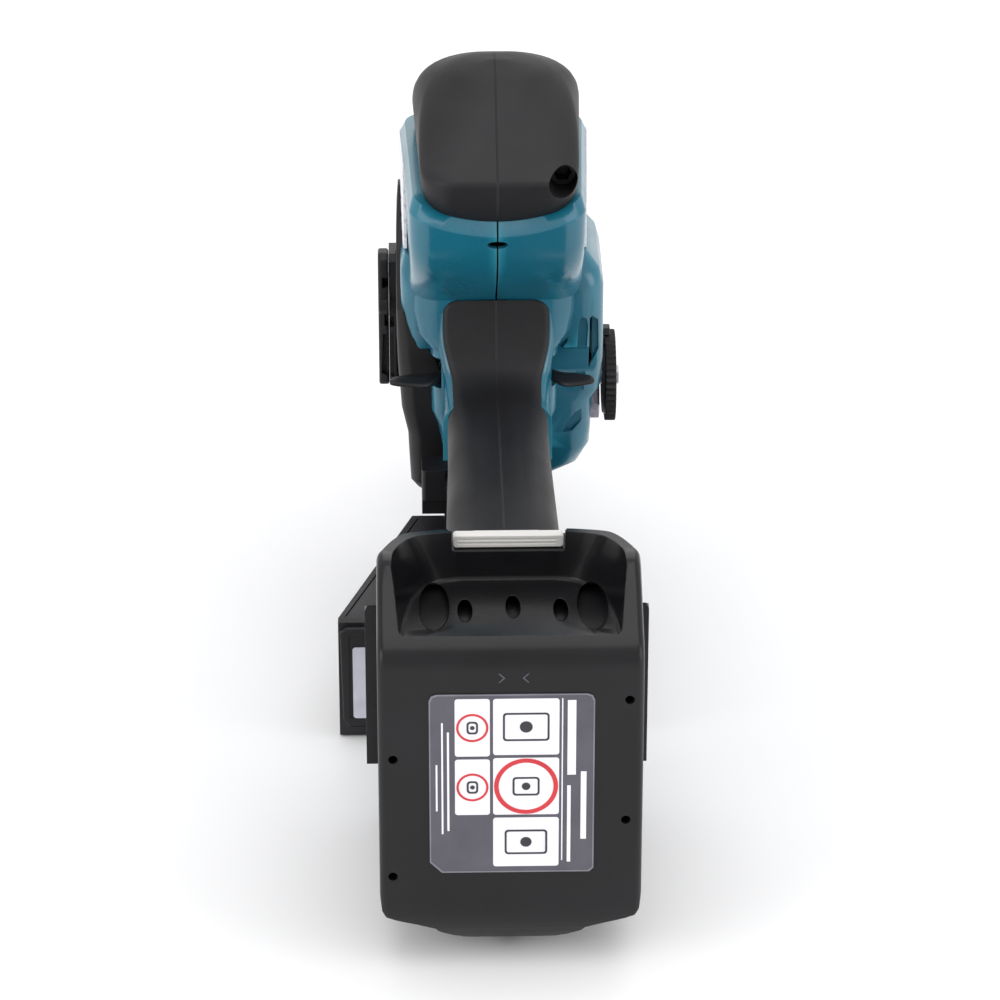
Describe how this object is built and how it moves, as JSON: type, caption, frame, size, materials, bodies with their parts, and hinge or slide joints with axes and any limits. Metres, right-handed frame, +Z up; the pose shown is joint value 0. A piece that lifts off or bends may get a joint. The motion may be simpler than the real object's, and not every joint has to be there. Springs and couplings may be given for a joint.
{
  "type": "biscuit joiner",
  "caption": "Cordless biscuit joiner with a rubber-capped upright motor column, short handle, slide-on battery, plunging cutter carriage, tilting fence and dust box.",
  "frame": {"origin": "middle of the battery's foot, on the surface that the tool stands on", "axes": "+X to the user's right, +Y along the plunge, away from the battery, +Z up"},
  "size_m": [0.0915, 0.3248, 0.193],
  "materials": {
    "shell": "satin",
    "rubber": "soft matte",
    "black": "fine grain",
    "gloss": "semi gloss",
    "steel": "ground",
    "alloy": "die cast",
    "brass": "turned",
    "copper": "wound",
    "label": "printed film",
    "board": "lacquered",
    "button": "smooth",
    "cell": "shrink sleeve"
  },
  "bodies": {
    "body": {"housing_left": "shell", "housing_right": "shell", "grip_overmould": "rubber", "bumper_cap": "rubber", "side_cover": "black", "battery_mount": "black", "terminal_block": "copper", "controller_board": "board", "switch_body": "black", "motor_stator": "copper", "motor_bearing_top": "steel", "motor_bearing_low": "steel", "spindle_bearing_top": "steel", "spindle_bearing_low": "steel", "motor_plate": "alloy", "gear_plate": "alloy", "rod_bushing_left": "brass", "rod_bushing_right": "brass", "plunge_spring_left": "steel", "plunge_spring_right": "steel", "chip_chute": "black", "dust_box": "black"},
    "rotor": {"rotor_core": "steel", "motor_shaft": "steel", "cooling_fan": "black", "pinion": "steel"},
    "arbor": {"spur_gear": "steel", "spindle_shaft": "steel", "cutter_blade": "steel", "clamp_flange": "steel", "arbor_nut": "steel"},
    "carriage": {"face_plate": "alloy", "guide_rod_left": "steel", "guide_rod_right": "steel", "anti_slip_pad_left": "rubber", "anti_slip_pad_right": "rubber", "carriage_arm": "alloy", "clamp_block": "black"},
    "fence_slide": {"fence_bracket": "alloy", "fence_pin": "steel"},
    "fence_tilt": {"fence_plate": "alloy"},
    "clamp": {"clamp_lever": "black"},
    "depth_stop": {"depth_dial": "black", "dial_shaft": "steel", "depth_cam": "brass"},
    "trigger": {"trigger": "black"},
    "lock_off": {"lock_off_lever": "black"},
    "lock_button": {"spindle_lock": "black"},
    "battery": {"battery_case": "gloss", "battery_rails": "gloss", "battery_label": "label", "cell_pack": "cell"},
    "battery_latch": {"battery_button": "button"},
    "bin_door": {"dust_door": "black", "door_sticker": "button"}
  },
  "joints": [
    {"name": "rotor_spin", "type": "hinge", "parent": "body", "child": "rotor", "pos_m": [0, 0.2025, 0.13], "axis": [0, 0, 1], "continuous": true},
    {"name": "arbor_spin", "type": "hinge", "parent": "body", "child": "arbor", "pos_m": [0, 0.219, 0.09], "axis": [0, 0, 1], "continuous": true},
    {"name": "plunge", "type": "slide", "parent": "body", "child": "carriage", "axis": [0, -1, 0], "range_m": [0, 0.02], "stiffness_N_per_m": 400, "springref_m": -0.006, "deforming": ["plunge_spring_left", "plunge_spring_right"]},
    {"name": "fence_height", "type": "slide", "parent": "carriage", "child": "fence_slide", "axis": [0, 0, 1], "range_m": [0, 0.014]},
    {"name": "fence_angle", "type": "hinge", "parent": "fence_slide", "child": "fence_tilt", "pos_m": [0, 0.262, 0.096], "axis": [1, 0, 0], "range_deg": [0, 90]},
    {"name": "fence_clamp", "type": "hinge", "parent": "carriage", "child": "clamp", "pos_m": [-0.036, 0.25, 0.094], "axis": [1, 0, 0], "range_deg": [0, 40]},
    {"name": "depth_setting", "type": "hinge", "parent": "body", "child": "depth_stop", "pos_m": [0.038, 0.2095, 0.0769], "axis": [1, 0, 0], "range_deg": [0, 300]},
    {"name": "trigger_pull", "type": "hinge", "parent": "body", "child": "trigger", "pos_m": [0, 0.167, 0.061], "axis": [-1, 0, 0], "range_deg": [0, 8], "stiffness_Nm_per_rad": 1, "springref_deg": -3.44},
    {"name": "lock_off_press", "type": "hinge", "parent": "body", "child": "lock_off", "pos_m": [0, 0.182, 0.0935], "axis": [1, 0, 0], "range_deg": [0, 8], "stiffness_Nm_per_rad": 0.6, "springref_deg": -3.44},
    {"name": "spindle_lock_press", "type": "slide", "parent": "body", "child": "lock_button", "axis": [-1, 0, 0], "range_m": [0, 0.003], "stiffness_N_per_m": 500, "springref_m": -0.003},
    {"name": "battery_slide", "type": "slide", "parent": "body", "child": "battery", "axis": [0, 0, 1], "range_m": [0, 0.09]},
    {"name": "battery_release", "type": "slide", "parent": "battery", "child": "battery_latch", "axis": [0, -1, 0], "range_m": [0, 0.003], "stiffness_N_per_m": 800, "springref_m": -0.003},
    {"name": "dust_door", "type": "hinge", "parent": "body", "child": "bin_door", "pos_m": [0, 0.1086, 0.0045], "axis": [1, 0, 0], "range_deg": [0, 90]}
  ],
  "couplings": [
    {"joint": "arbor_spin", "follows": "rotor_spin", "ratio": -0.5}
  ]
}
